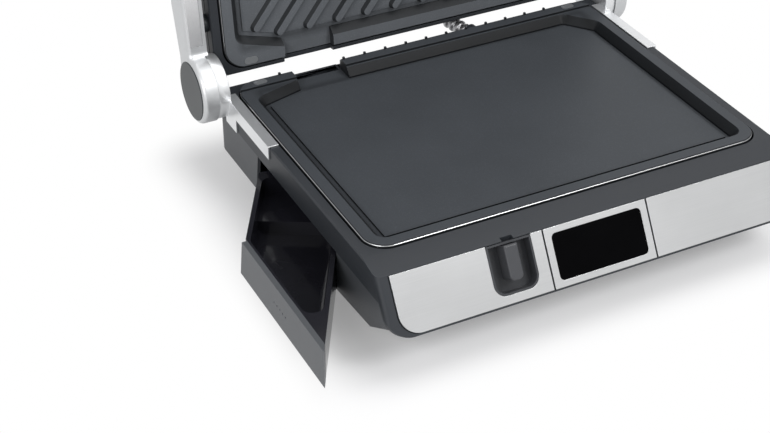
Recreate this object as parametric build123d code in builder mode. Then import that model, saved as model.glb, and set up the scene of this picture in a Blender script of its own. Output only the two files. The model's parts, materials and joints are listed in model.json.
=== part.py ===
from build123d import *
from math import ceil, cos, floor, radians, sin, tan
import os

os.makedirs("parts", exist_ok=True)

# Countertop contact grill with a hinged lid, resting open, with its drip tray pulled out.
# Millimetres. The origin is on the table below the middle of the cooking plates,
# +X to the right of the user, +Y to the back, +Z up.

# Cooking plates
plate_width = 318.0
plate_depth = 239.0
plate_corner = 17.0
plate_height = 14.0
rim_height = 80.0
rim_land = 9.2
edge_chamfer = 1.0
basin_depth = 6.0
basin_slope = 40.0
basin_corner = 3.5
basin_bevel_x = 17.0
basin_bevel_y = 21.0
basin_slant = 10.0
gutter_width = 4.0
gutter_depth = 1.4
plate_wall = 3.0
rear_rim_width = 9.5
rear_rim_rise = 1.8
spout_left = -110.0
spout_right = -68.0
lug_size = 1.8
lug_rise = 1.9
lug_pitch = 18.35
lug_start = 7.6
lug_margin = 8.0
tab_width = 11.0
tab_depth = 5.5
tab_inset = 15.0
tab_thickness = 0.5
plate_gap = 4.0

# Ribs of the upper plate
rib_pitch = 25.0
rib_angle = 40.3
rib_width = 8.2
rib_draft = 20.0
rib_height = 4.0
rib_margin_x = 26.0
rib_margin_y = 18.0
rib_first_x = -114.0

# Frames that hold the plates
frame_width = 336.0
frame_deck_start = 121.5
frame_front = 141.5
frame_rear = 125.0
frame_height = 21.0
rim_proud = 2.0
frame_edge = 1.0
frame_wall = 2.6
front_deck_wall = 3.1
front_drop = 3.7
front_corner = 4.0
apron_length = 44.5
apron_thickness = 5.0
apron_corner = 18.0
plate_clearance = 1.3
ledge_width = 5.0
ledge_thickness = 3.0
seat_clearance = 0.3
notch_width = 9.0
notch_depth = 3.0

# Lower housing
body_inset = 0.6
body_gap = 0.3
body_wall = 2.5
body_floor = 10.0
side_foot = 24.0
keel_width = 280.0
keel_front = 120.0
keel_rear = 112.0
rear_foot = 128.0
hump_rear = 138.0
hump_shoulder = 62.0
hump_crest = 69.0
hump_crest_depth = 6.7
body_corner = 15.0

# Front panels, on a slope
panel_tilt = 30.7
panel_top = 0.8
panel_length = 42.4
panel_thickness = 1.5
panel_reach = 150.0
panel_split = 42.0
panel_gap = 1.2
panel_corner = 15.0
panel_fit = 0.15
window_width = 72.0
window_length = 33.0
window_corner = 3.5
window_lip = 4.0
board_standoff = 5.0
board_thickness = 1.6
standoff_radius = 3.0

# Release lever of the lower plate
lever_x = -69.0
pocket_top = 1.2
pocket_width = 32.0
pocket_length = 33.0
pocket_depth = 9.0
pocket_wall = 1.4
pocket_corner = 9.0
lever_width = 10.5
lever_length = 25.0
lever_thickness = 11.5
lever_proud = 3.0
lever_top_gap = 3.4
lever_round = 1.5
lever_travel = 6.5
stem_width = 6.0
stem_thickness = 5.0
stem_drop = 11.0
latch_arm = 4.0
latch_gap = 0.5
latch_height = 4.0
latch_top = 72.2
latch_setback = 0.8
slot_clearance = 0.6

# Release lever of the upper plate
upper_lever_height = 12.0
upper_lever_proud = 3.2
upper_travel = 4.0
upper_stem_height = 3.5
upper_stem_rise = 4.0

# Drip tray, a drawer that slides out diagonally
tray_angle = 29.45
tray_pull = 105.8
tray_top = 54.0
tray_height = 28.0
tray_wall = 3.4
tray_floor = 2.0
tray_rear_start = 57.0
tray_front_start = -72.4
tray_end = 130.0
tray_end_rake = 5.5
tray_corner = 8.0
tray_fillet = 7.0
step_height = 12.0
step_start = 94.0
fascia_thickness = 4.0
fascia_inset = 0.5
fascia_rear = 54.6
fascia_rear_foot = 60.1
fascia_front = -79.3
fascia_gap = 0.8
dot_count = 5
dot_pitch = 4.7
dot_radius = 0.8
dot_depth = 0.4
dot_middle = -9.0
deck_thickness = 2.5
deck_lip = 3.0
deck_lip_height = 8.0
deck_gap = 0.5
deck_start = -158.0
deck_end = 118.0
deck_leg = 8.0
deck_leg_places = [(-128.0, 0.0), (-128.0, 80.0), (-104.0, 88.0), (-84.0, 88.0)]
chute_wall = 1.5
chute_gap = 0.4
chute_throat = 8.3
chute_top = 71.0
chute_foot = 56.0
chute_flange = 5.0

# Hinge
hinge_y = 127.0
hinge_z = 81.0
open_angle = 97.0
hub_radius = 26.0
hub_width = 12.6
hub_clearance = 1.0
cap_radius = 23.0
cap_thickness = 1.6
cap_proud = 0.6
bracket_outer = 177.0
bracket_radius = 25.0
bracket_wall = 1.3
bracket_front = 30.0
bracket_side = 9.6
bracket_knee = 92.0
bracket_overlap = 10.0
bracket_top_width = 8.6
pin_radius = 6.0
pin_reach = 9.0
pin_seat = 7.5
pin_end_gap = 0.5
running_clearance = 0.05
pivot_y = 81.6
pivot_z = 97.0
pivot_radius = 4.0
pivot_collar = 7.0
pivot_reach = 4.4

# Handle
arm_outer = 190.0
arm_inner = 174.6
arm_bottom = 80.0
arm_neck_y = 104.0
arm_neck_z = 102.0
arm_shoulder_y = 65.0
arm_top = 108.0
arm_fall = 4.0
arm_front = 177.0
arm_nose = 9.0
arm_throat = 5.0
arm_round = 3.5
trim_width = 10.6
trim_inset = 2.0
trim_thickness = 1.0
trim_rear = 92.0
trim_front = 150.0
trim_fit = 0.1
bar_y = -163.0
bar_z = 94.0
bar_depth = 24.0
bar_height = 20.0
bar_round = 9.0

# Lid
lid_front = 124.5
lid_rear = 124.0
lid_corner = 6.0
lid_groove = 1.0
lid_groove_rise = 9.0
lid_crown = 150.0
lid_front_crown = 126.0
lid_crown_front = -70.0
lid_round = 20.0
lid_brow = 60.0
lid_nose = 12.0
cover_wall = 0.8

# Heaters
heater_radius = 3.3
heater_height = 65.5
heater_x = 125.0
heater_y = 88.0
heater_right = 130.0
heater_gap = 12.0
heater_bend = 24.0
heater_leg_bend = 8.0
heater_leg_foot = 50.0
pan_width = 320.0
pan_depth = 237.0
pan_corner = 16.0
pan_wall = 0.7
pan_height = 5.1
pad_radius = 5.0
leg_clearance = 1.0
thermostat_radius = 9.0
thermostat_height = 8.0
thermostat_x = 40.0

# Feet, bottom cover, screws and cable gland
foot_radius = 11.0
foot_peg = 9.0
foot_x = 120.0
foot_y = 98.0
foot_recess = 1.2
foot_clearance = 0.2
foot_draft = 6.0
cover_plate_width = 190.0
cover_plate_depth = 120.0
cover_plate_wall = 1.6
cover_lap = 9.0
screw_radius = 1.6
screw_head = 3.2
screw_head_height = 1.6
screw_head_draft = 20.0
screw_length = 8.0
screw_boss = 4.0
gland_x = 120.0
gland_z = 40.0
gland_radius = 9.0
gland_bore = 4.0
gland_reach = 5.0
gland_depth = 7.0

# Wiring conduit between the base and the lid
conduit_radius = 6.2
conduit_root = 5.2
conduit_bore = 4.2
conduit_pitch = 5.6
conduit_from = Vector(57.0, 134.0, 66.5)
conduit_heading = Vector(-0.35, 0.915, 0.20).normalized()
conduit_run = 20.0
conduit_bend = 10.0
conduit_end_run = 12.5
collar_radius = 8.4
collar_out = 3.0
collar_in = 4.0
lid_collar_radius = 10.0
lid_collar_thickness = 2.4
lid_collar_spigot = 8.0
lid_collar_bore = 7.4

# Sizes worked out from those above
half_x = plate_width / 2
half_y = plate_depth / 2
half_frame = frame_width / 2
half_body = half_frame - body_inset
frame_top = rim_height - rim_proud
frame_foot = frame_top - frame_height
pocket_y = half_y + plate_clearance
floor_height = rim_height - basin_depth
plate_foot = rim_height - plate_height
ledge_top = plate_foot - seat_clearance
ledge_foot = ledge_top - ledge_thickness
mid_height = rim_height + plate_gap / 2
slope_y = sin(radians(panel_tilt))
slope_z = cos(radians(panel_tilt))
edge_height = frame_top - front_drop
panel_middle = -panel_top - panel_length / 2
pocket_middle = -pocket_top - pocket_wall - pocket_length / 2
seam_height = frame_foot - body_gap
tray_x = sin(radians(tray_angle))
tray_y = cos(radians(tray_angle))
tray_foot = tray_top - tray_height
fascia_x = fascia_inset - half_frame
tray_outer = fascia_x + fascia_thickness
hub_inner = arm_outer - hub_width
spout_middle = (spout_left + spout_right) / 2
spout_width = spout_right - spout_left
hinge_axis = Axis((0, hinge_y, hinge_z), (1, 0, 0))
opened_cos = cos(radians(open_angle))
opened_sin = sin(radians(open_angle))

# The slope of the front: x to the right, y up the slope, z outwards
front_slope = Plane(
    origin=(0, -frame_front, edge_height),
    x_dir=(1, 0, 0),
    z_dir=(0, -slope_z, slope_y),
)
outwards = Axis((0, 0, 0), (0, -slope_z, slope_y))


def on_slope(down, inward):
    """Y and Z of a point below the top edge of the front slope and behind its face."""
    return (
        -frame_front - down * slope_y + inward * slope_z,
        edge_height - down * slope_z - inward * slope_y,
    )


def slope_at(height, inward):
    """Y of the front slope, or of a face parallel behind it, at a height."""
    return -frame_front - (edge_height - height) * slope_y / slope_z + inward / slope_z


def save(piece, name):
    """Labels a finished piece and writes it."""
    piece.part.label = name
    export_step(piece.part, "parts/" + name + ".step")


def swing_open(piece):
    """Swings a piece of the lid or handle from closed to the opening that it rests at."""
    piece.part = piece.part.rotate(hinge_axis, -open_angle)


def mirrored(piece, about=Plane.YZ):
    """The same piece for the other side."""
    with BuildPart() as twin:
        add(piece.part)
        mirror(about=about, mode=Mode.REPLACE)
    return twin


def upside_down(piece):
    """The piece of the closed lid that faces this one of the base."""
    return mirrored(piece, Plane.XY.offset(mid_height))


# Cooking plates: a flat lower one and a ribbed upper one, cast to one outline


def cooking_plate(rear_rise):
    """A cast plate with a rear rim, a sloped basin and a spout at the rear left."""
    slope = tan(radians(basin_slope))
    floor_x = half_x - rim_land - basin_depth * slope
    floor_front = half_y - rim_land - basin_depth * slope
    floor_rear = half_y - rear_rim_width - (basin_depth + rear_rise) * slope
    with BuildPart() as plate:
        with BuildSketch(Plane.XY.offset(plate_foot)):
            RectangleRounded(plate_width, plate_depth, plate_corner)
        extrude(amount=plate_height)
        chamfer(plate.faces().sort_by(Axis.Z)[-1].edges(), edge_chamfer)
        if rear_rise > 0:
            with BuildSketch(Plane.XY.offset(rim_height - edge_chamfer)):
                RectangleRounded(plate_width, plate_depth, plate_corner)
                with Locations((0, half_y)):
                    Rectangle(
                        plate_width,
                        rear_rim_width,
                        align=(Align.CENTER, Align.MAX),
                        mode=Mode.INTERSECT,
                    )
            extrude(amount=rear_rise + edge_chamfer)
        with BuildSketch(Plane.XY.offset(floor_height)) as floor_outline:
            with BuildLine():
                Polyline(
                    (-floor_x, -floor_front),
                    (floor_x, -floor_front),
                    (floor_x, floor_rear - basin_bevel_y),
                    (floor_x - basin_bevel_x, floor_rear),
                    (spout_left, floor_rear),
                    (-floor_x, floor_rear - basin_slant),
                    close=True,
                )
            make_face()
            fillet(floor_outline.vertices(), basin_corner)
        extrude(amount=basin_depth + rear_rise, taper=-basin_slope, mode=Mode.SUBTRACT)
        with BuildSketch(Plane.XY.offset(floor_height)):
            add(floor_outline.sketch_local)
            offset(floor_outline.sketch_local, amount=-gutter_width, mode=Mode.SUBTRACT)
        extrude(amount=-gutter_depth, mode=Mode.SUBTRACT)
        with BuildSketch(Plane.XY.offset(floor_height - gutter_depth)):
            with Locations((spout_middle, half_y)):
                Rectangle(
                    spout_width,
                    half_y - floor_rear + gutter_width,
                    align=(Align.CENTER, Align.MAX),
                )
        extrude(amount=plate_height, mode=Mode.SUBTRACT)
        # Hollow underside for the heating element
        with BuildSketch(Plane.XY.offset(plate_foot)):
            RectangleRounded(
                2 * (floor_x - gutter_width), 2 * (floor_front - gutter_width), plate_corner
            )
        extrude(amount=plate_height - basin_depth - gutter_depth - plate_wall, mode=Mode.SUBTRACT)
        if rear_rise > 0:
            reach = half_x - plate_corner - lug_margin
            first = ceil((-reach - lug_start) / lug_pitch)
            last = floor((reach - lug_start) / lug_pitch)
            along = [lug_start + index * lug_pitch for index in range(first, last + 1)]
            places = [
                (x, half_y - lug_size / 2)
                for x in along
                if not spout_left - lug_size < x < spout_right + lug_size
            ]
            with BuildSketch(Plane.XY.offset(rim_height + rear_rise)):
                with Locations(places):
                    Rectangle(lug_size, lug_size)
            extrude(amount=lug_rise)
    return plate


def locating_tabs(rear_rise):
    """Two bright tabs on the rear rim of a plate."""
    tab_x = half_x - tab_inset - tab_width / 2
    tab_y = half_y - rear_rim_width / 2
    with BuildPart() as tabs:
        with BuildSketch(Plane.XY.offset(rim_height + rear_rise)):
            with Locations((-tab_x, tab_y), (tab_x, tab_y)):
                SlotOverall(tab_width, tab_depth)
        extrude(amount=tab_thickness)
    return tabs


def plate_ribs():
    """Slanting ribs with rounded ends that stand in the basin of the upper plate."""
    lean = tan(radians(rib_angle))
    rib_end_y = half_y - rib_margin_y
    rib_end_x = half_x - rib_margin_x
    first = -floor((rib_first_x + rib_end_x + 2 * rib_end_y * lean) / rib_pitch)
    last = floor((rib_end_x - rib_first_x) / rib_pitch)
    with BuildPart() as ribs:
        for index in range(first, last + 1):
            rear_x = rib_first_x + index * rib_pitch
            start = max(0.0, (-rib_end_x - rear_x) / lean)
            end = min(2 * rib_end_y, (rib_end_x - rear_x) / lean)
            length = (end - start) / cos(radians(rib_angle))
            if length > 3 * rib_width:
                middle = (start + end) / 2
                with BuildSketch(Plane.XY.offset(floor_height)):
                    with Locations((rear_x + middle * lean, rib_end_y - middle)):
                        SlotOverall(length, rib_width, rotation=rib_angle - 90)
                extrude(amount=rib_height, taper=rib_draft)
    return ribs


lower_plate = cooking_plate(rear_rim_rise)
save(lower_plate, "lower_plate")
lower_plate_tabs = locating_tabs(rear_rim_rise)
save(lower_plate_tabs, "lower_plate_tabs")

flat_plate = cooking_plate(0)
rib_group = plate_ribs()
with BuildPart() as upper_plate:
    add(flat_plate.part)
    add(rib_group.part)
    mirror(about=Plane.XY.offset(mid_height), mode=Mode.REPLACE)
swing_open(upper_plate)
save(upper_plate, "upper_plate")
upper_plate_tabs = upside_down(locating_tabs(0))
swing_open(upper_plate_tabs)
save(upper_plate_tabs, "upper_plate_tabs")


# Frame of the base, one moulding with the sloped apron that carries the front panels

with BuildPart() as base_frame:
    with BuildSketch(Plane.YZ.offset(-half_frame)):
        with BuildLine():
            Polyline(
                (frame_rear, frame_foot),
                (frame_rear, frame_top),
                (-frame_deck_start, frame_top),
                on_slope(0, 0),
                on_slope(apron_length, 0),
                on_slope(apron_length, apron_thickness),
                (slope_at(frame_foot, apron_thickness), frame_foot),
                close=True,
            )
        make_face()
    extrude(amount=frame_width)
    chamfer(base_frame.edges().filter_by(Axis.Y).group_by(Axis.Z)[-1], frame_edge)
    front_edges = [
        base_frame.edges().sort_by_distance((side * half_frame, *on_slope(apron_length / 2, 0)))[0]
        for side in (-1, 1)
    ]
    fillet(front_edges, front_corner)
    # Lower corners of the apron
    with BuildSketch(front_slope):
        for side in (-1, 1):
            with Locations((side * half_frame, -apron_length)):
                Rectangle(2 * apron_corner, 2 * apron_corner)
            with Locations((side * (half_frame - apron_corner), apron_corner - apron_length)):
                Circle(apron_corner, mode=Mode.SUBTRACT)
    extrude(amount=apron_thickness + 1, both=True, mode=Mode.SUBTRACT)
    # Pocket for the plate, above a ledge
    with BuildSketch(Plane.XY.offset(ledge_top)):
        RectangleRounded(
            plate_width + 2 * plate_clearance,
            plate_depth + 2 * plate_clearance,
            plate_corner + plate_clearance,
        )
    extrude(amount=frame_height, mode=Mode.SUBTRACT)
    with BuildSketch(Plane.XY.offset(frame_foot)):
        RectangleRounded(
            plate_width - 2 * ledge_width, plate_depth - 2 * ledge_width, plate_corner
        )
    extrude(amount=frame_height, mode=Mode.SUBTRACT)
    # Hollow below the ledge, and behind the apron
    with BuildSketch(Plane.XY.offset(frame_foot)):
        with Locations((0, -pocket_y)):
            Rectangle(
                frame_width - 2 * frame_wall,
                pocket_y + frame_rear - frame_wall,
                align=(Align.CENTER, Align.MIN),
            )
    extrude(amount=ledge_foot - frame_foot, mode=Mode.SUBTRACT)
    with BuildSketch(Plane.YZ.offset(frame_wall - half_frame)):
        with BuildLine():
            Polyline(
                (-pocket_y - frame_wall, frame_foot),
                (-pocket_y - frame_wall, frame_top - front_deck_wall),
                on_slope(frame_wall, apron_thickness),
                (slope_at(frame_foot, apron_thickness), frame_foot),
                close=True,
            )
        make_face()
    extrude(amount=frame_width - 2 * frame_wall, mode=Mode.SUBTRACT)
    # Recess for the front panels, and openings behind the display and the lever pocket
    with BuildSketch(front_slope) as recess:
        with Locations((0, panel_middle)):
            Rectangle(2 * (panel_reach + panel_fit), panel_length + 2 * panel_fit)
        fillet(recess.vertices().group_by(Axis.Y)[0], panel_corner)
    extrude(amount=-panel_thickness, mode=Mode.SUBTRACT)
    with BuildSketch(front_slope):
        with Locations((0, panel_middle)):
            Rectangle(window_width - 2 * window_lip, window_length - 2 * window_lip)
        with Locations((lever_x, pocket_middle)):
            Rectangle(
                pocket_width + 2 * (pocket_wall + panel_fit),
                pocket_length + 2 * (pocket_wall + panel_fit),
            )
    extrude(amount=-apron_thickness - 2, mode=Mode.SUBTRACT)
    # Notch above the lever, and a window for its latch
    with BuildSketch(Plane.XY.offset(edge_height - front_deck_wall)):
        with Locations((lever_x, -frame_front)):
            Rectangle(notch_width, 2 * notch_depth)
    extrude(amount=frame_height, mode=Mode.SUBTRACT)
    with BuildSketch(Plane.XZ.offset(pocket_y - 1)):
        with Locations((lever_x, latch_top + slot_clearance)):
            Rectangle(
                stem_width + 2 * slot_clearance,
                latch_height + lever_travel + slot_clearance,
                align=(Align.CENTER, Align.MAX),
            )
    extrude(amount=frame_wall + 2, mode=Mode.SUBTRACT)
    # Gap in the rear wall over the drain chute
    with BuildSketch(Plane.XY.offset(frame_foot)):
        with Locations((spout_middle, pocket_y)):
            Rectangle(
                spout_width + 2 * (chute_wall + seat_clearance),
                frame_rear,
                align=(Align.CENTER, Align.MIN),
            )
    extrude(amount=frame_height, mode=Mode.SUBTRACT)
    # Standoffs of the control board
    with BuildSketch(front_slope.offset(-panel_thickness - 1)):
        with Locations((0, panel_middle)):
            with GridLocations(window_width, window_length, 2, 2):
                Circle(standoff_radius)
    extrude(amount=panel_thickness + 1 - apron_thickness - board_standoff)
save(base_frame, "base_frame")


# Lower housing, a hull with raked ends and a hump behind the plates


def lower_hull(inset):
    """Solid of the lower housing, shrunk on every side."""
    front_reach = -on_slope(apron_length, apron_thickness + body_gap)[0]
    with BuildPart() as hull:
        with BuildSketch(Plane.YZ.offset(inset - half_body)):
            with BuildLine():
                Polyline(
                    (slope_at(seam_height, apron_thickness + body_gap), seam_height),
                    on_slope(apron_length, apron_thickness + body_gap),
                    (-keel_front, body_floor),
                    (keel_rear, body_floor),
                    (rear_foot, side_foot),
                    (hump_rear, hump_shoulder),
                    (frame_rear + hump_crest_depth, hump_crest),
                    (frame_rear + body_gap, hump_crest),
                    (frame_rear + body_gap, seam_height),
                    close=True,
                )
            make_face()
            if inset > 0:
                offset(amount=-inset, kind=Kind.INTERSECTION)
        extrude(amount=2 * (half_body - inset))
        with BuildSketch(Plane.XZ.offset(-hump_rear)):
            with BuildLine():
                Polyline(
                    (-half_body, hump_crest + 1),
                    (-half_body, side_foot),
                    (-keel_width / 2, body_floor),
                    (keel_width / 2, body_floor),
                    (half_body, side_foot),
                    (half_body, hump_crest + 1),
                    close=True,
                )
            make_face()
            if inset > 0:
                offset(amount=-inset, kind=Kind.INTERSECTION)
        extrude(amount=hump_rear + front_reach, mode=Mode.INTERSECT)
        with BuildSketch(Plane.XY):
            with Locations((0, hump_rear - inset)):
                RectangleRounded(
                    2 * (half_body - inset),
                    hump_rear + front_reach - 2 * inset,
                    body_corner - inset,
                    align=(Align.CENTER, Align.MAX),
                )
        extrude(amount=hump_crest + 1, mode=Mode.INTERSECT)
    return hull


outer_hull = lower_hull(0)
inner_hull = lower_hull(body_wall)
chute_width = spout_width + 2 * chute_wall
chute_back = frame_rear + hump_crest_depth
collar_plane = Plane(origin=conduit_from, x_dir=(1, 0.38, 0), z_dir=conduit_heading)
collar_axis = Axis(conduit_from, conduit_heading)
screw_x = (cover_plate_width - cover_lap) / 2
screw_y = (cover_plate_depth - cover_lap) / 2
screw_places = [(-screw_x, -screw_y), (screw_x, -screw_y), (-screw_x, screw_y), (screw_x, screw_y)]

with BuildPart() as base_body:
    add(outer_hull.part)
    add(inner_hull.part, mode=Mode.SUBTRACT)
    with BuildSketch(Plane.XY.offset(seam_height - 2 * body_wall)):
        with Locations((0, frame_rear - body_wall)):
            Rectangle(
                2 * (half_body - body_wall),
                frame_rear - 2 * body_wall - slope_at(seam_height, apron_thickness + body_gap),
                align=(Align.CENTER, Align.MAX),
            )
    extrude(amount=3 * body_wall, mode=Mode.SUBTRACT)
    # Room behind the front panels
    with BuildSketch(front_slope.offset(-apron_thickness)):
        with Locations((0, panel_middle)):
            Rectangle(2 * panel_reach, panel_length - body_wall)
    extrude(amount=-2 * body_wall, mode=Mode.SUBTRACT)
    # Opening for the tray in the left side
    with BuildSketch(Plane.YZ.offset(-half_frame - 1)):
        with BuildLine():
            Polyline(
                (fascia_front - fascia_gap, side_foot),
                (fascia_front - fascia_gap, frame_foot),
                (fascia_rear + fascia_gap, frame_foot),
                (fascia_rear_foot + fascia_gap, side_foot),
                close=True,
            )
        make_face()
    extrude(amount=body_wall + 3, mode=Mode.SUBTRACT)
    # Opening in the hump for the chute, and one for the conduit's collar
    with BuildSketch(Plane.XY.offset(chute_foot - 2 * body_wall)):
        with Locations((spout_middle, frame_rear - frame_wall)):
            Rectangle(
                chute_width + 2 * seat_clearance,
                hump_crest_depth + frame_wall + seat_clearance,
                align=(Align.CENTER, Align.MIN),
            )
    extrude(amount=hump_crest, mode=Mode.SUBTRACT)
    with BuildSketch(collar_plane.offset(-collar_in - 1)):
        Circle(collar_radius + seat_clearance)
    extrude(amount=collar_in + 2 * collar_radius, mode=Mode.SUBTRACT)
    # Hole for the cable gland in the rear wall
    with BuildSketch(Plane.XZ.offset(-hump_rear)):
        with Locations((gland_x, gland_z)):
            Circle(gland_radius)
    extrude(amount=hump_rear - keel_rear, mode=Mode.SUBTRACT)
    # Access opening in the floor, recesses for the feet, and screw bosses
    with BuildSketch(Plane.XY.offset(body_floor)):
        Rectangle(cover_plate_width - 2 * cover_lap, cover_plate_depth - 2 * cover_lap)
    extrude(amount=body_wall, mode=Mode.SUBTRACT)
    with BuildSketch(Plane.XY.offset(body_floor)):
        with GridLocations(2 * foot_x, 2 * foot_y, 2, 2):
            Circle(foot_peg + foot_clearance)
    extrude(amount=foot_recess, mode=Mode.SUBTRACT)
    with BuildSketch(Plane.XY.offset(body_floor + body_wall / 2)):
        with Locations(screw_places):
            Circle(screw_boss)
    extrude(amount=screw_length - body_wall / 2)
    with BuildSketch(Plane.XY.offset(body_floor)):
        with Locations(screw_places):
            Circle(screw_radius + running_clearance)
    extrude(amount=screw_length - 1, mode=Mode.SUBTRACT)
save(base_body, "base_body")

with BuildPart() as bottom_cover:
    with BuildSketch(Plane.XY.offset(body_floor - cover_plate_wall)):
        RectangleRounded(cover_plate_width, cover_plate_depth, cover_lap)
        with Locations(screw_places):
            Circle(screw_radius + running_clearance, mode=Mode.SUBTRACT)
    extrude(amount=cover_plate_wall)
save(bottom_cover, "bottom_cover")

with BuildPart() as base_screws:
    with BuildSketch(Plane.XY.offset(body_floor - cover_plate_wall)):
        with Locations(screw_places):
            Circle(screw_head)
    extrude(amount=-screw_head_height, taper=screw_head_draft)
    with BuildSketch(Plane.XY.offset(body_floor - cover_plate_wall)):
        with Locations(screw_places):
            Circle(screw_radius)
    extrude(amount=screw_length)
save(base_screws, "base_screws")

with BuildPart() as rubber_feet:
    with BuildSketch(Plane.XY.offset(body_floor)):
        with GridLocations(2 * foot_x, 2 * foot_y, 2, 2):
            Circle(foot_radius)
    extrude(amount=-body_floor, taper=foot_draft)
    with BuildSketch(Plane.XY.offset(body_floor)):
        with GridLocations(2 * foot_x, 2 * foot_y, 2, 2):
            Circle(foot_peg)
    extrude(amount=foot_recess)
save(rubber_feet, "rubber_feet")

gland_wall = rear_foot + (gland_z - side_foot) * (hump_rear - rear_foot) / (
    hump_shoulder - side_foot
)
with BuildPart() as cord_gland:
    with BuildSketch(Plane.XZ.offset(-gland_wall - gland_reach)):
        with Locations((gland_x, gland_z)):
            Circle(gland_radius - running_clearance)
    extrude(amount=gland_reach + gland_depth)
    with BuildSketch(Plane.XZ.offset(-gland_wall - gland_reach)):
        with Locations((gland_x, gland_z)):
            Circle(gland_bore)
    extrude(amount=gland_reach + gland_depth / 2, mode=Mode.SUBTRACT)
save(cord_gland, "cord_gland")


# Front panels, display and its board

half_gap = panel_gap / 2
notch_half = pocket_width / 2 + pocket_wall + panel_fit
notch_foot = pocket_middle - pocket_length / 2 - pocket_wall - panel_fit
panel_spans = {
    "front_panel_left": (-panel_reach, -panel_split - half_gap),
    "front_panel_center": (-panel_split + half_gap, panel_split - half_gap),
    "front_panel_right": (panel_split + half_gap, panel_reach),
}
for panel_name, (left, right) in panel_spans.items():
    with BuildPart() as front_panel:
        with BuildSketch(front_slope) as panel_face:
            with Locations(((left + right) / 2, panel_middle)):
                Rectangle(right - left, panel_length)
            low_corners = panel_face.vertices().group_by(Axis.Y)[0]
            outer_corners = [corner for corner in low_corners if abs(corner.X) > panel_reach - 1]
            if outer_corners:
                fillet(outer_corners, panel_corner)
            if panel_name == "front_panel_left":
                with Locations((lever_x, notch_foot)):
                    Rectangle(
                        2 * notch_half,
                        panel_length,
                        align=(Align.CENTER, Align.MIN),
                        mode=Mode.SUBTRACT,
                    )
                for side in (-1, 1):
                    corner = (lever_x + side * notch_half, notch_foot)
                    fillet(panel_face.vertices().sort_by_distance(corner)[0], pocket_corner)
            if panel_name == "front_panel_center":
                with Locations((0, panel_middle)):
                    RectangleRounded(
                        window_width + 2 * panel_fit,
                        window_length + 2 * panel_fit,
                        window_corner,
                        mode=Mode.SUBTRACT,
                    )
        extrude(amount=-panel_thickness)
    save(front_panel, panel_name)

with BuildPart() as display_window:
    with BuildSketch(front_slope):
        with Locations((0, panel_middle)):
            RectangleRounded(window_width, window_length, window_corner)
    extrude(amount=-panel_thickness)
save(display_window, "display_window")

with BuildPart() as control_board:
    with BuildSketch(front_slope.offset(-apron_thickness - board_standoff)):
        with Locations((0, panel_middle)):
            Rectangle(window_width + 4 * standoff_radius, window_length + 2 * standoff_radius)
    extrude(amount=-board_thickness)
save(control_board, "control_board")


# Release lever of the lower plate, in its pocket

with BuildPart() as lever_pocket:
    with BuildSketch(front_slope) as pocket_outline:
        with Locations((lever_x, pocket_middle)):
            Rectangle(pocket_width + 2 * pocket_wall, pocket_length + 2 * pocket_wall)
        fillet(pocket_outline.vertices().group_by(Axis.Y)[0], pocket_corner)
    extrude(amount=-pocket_depth - pocket_wall)
    with BuildSketch(front_slope) as pocket_hollow:
        with Locations((lever_x, pocket_middle)):
            Rectangle(pocket_width, pocket_length)
        fillet(pocket_hollow.vertices().group_by(Axis.Y)[0], pocket_corner - pocket_wall)
    extrude(amount=-pocket_depth, mode=Mode.SUBTRACT)
    with BuildSketch(front_slope):
        with Locations((lever_x, -stem_drop + stem_thickness / 2 + slot_clearance)):
            Rectangle(
                stem_width + 2 * slot_clearance,
                stem_thickness + lever_travel + 2 * slot_clearance,
                align=(Align.CENTER, Align.MAX),
            )
    extrude(amount=-pocket_depth - pocket_wall - 1, mode=Mode.SUBTRACT)
save(lever_pocket, "lever_pocket")

latch_y = -pocket_y - frame_wall - latch_setback
latch_inward = (latch_y - latch_arm + frame_front + stem_drop * slope_y) / slope_z
latch_foot = on_slope(stem_drop, latch_inward)[1] - stem_thickness / 2
with BuildPart() as release_lever:
    with BuildSketch(front_slope.offset(lever_proud)) as bar_outline:
        with Locations((lever_x, -lever_top_gap)):
            Rectangle(lever_width, lever_length, align=(Align.CENTER, Align.MAX))
        fillet(bar_outline.vertices().group_by(Axis.Y)[0], lever_width / 3)
    extrude(amount=-lever_thickness)
    fillet(release_lever.faces().sort_by(outwards)[-1].edges(), lever_round)
    with BuildSketch(front_slope):
        with Locations((lever_x, -stem_drop)):
            Rectangle(stem_width, stem_thickness)
    extrude(amount=-latch_inward - latch_arm / 2)
    with BuildSketch(Plane.XY.offset(latch_foot)):
        with Locations((lever_x, latch_y)):
            Rectangle(stem_width, latch_arm, align=(Align.CENTER, Align.MAX))
    extrude(amount=latch_top - latch_foot)
    with BuildSketch(Plane.XY.offset(latch_top - latch_height)):
        with Locations((lever_x, -half_y - latch_gap)):
            Rectangle(
                stem_width,
                -half_y - latch_gap - latch_y + 1,
                align=(Align.CENTER, Align.MAX),
            )
    extrude(amount=latch_height)
save(release_lever, "release_lever")


# Heating element, reflector pan and thermostat of the base, and the pair for the lid

pan_foot = ledge_foot - pan_height
leg_places = [(heater_right, heater_gap), (heater_right, -heater_gap)]
pad_places = [
    (0, heater_y),
    (0, -heater_y),
    (-heater_x, 0),
    (heater_right - heater_bend, heater_y),
    (heater_right - heater_bend, -heater_y),
]
with BuildPart() as lower_heating_element:
    with BuildLine() as element_path:
        FilletPolyline(
            (heater_right, heater_gap, heater_leg_foot),
            (heater_right, heater_gap, heater_height),
            (heater_right, heater_y, heater_height),
            (-heater_x, heater_y, heater_height),
            (-heater_x, -heater_y, heater_height),
            (heater_right, -heater_y, heater_height),
            (heater_right, -heater_gap, heater_height),
            (heater_right, -heater_gap, heater_leg_foot),
            radius=[heater_leg_bend] + 4 * [heater_bend] + [heater_leg_bend],
        )
    with BuildSketch(Plane.XY.offset(heater_leg_foot)):
        with Locations(leg_places[0]):
            Circle(heater_radius)
    sweep()
save(lower_heating_element, "lower_heating_element")

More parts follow.
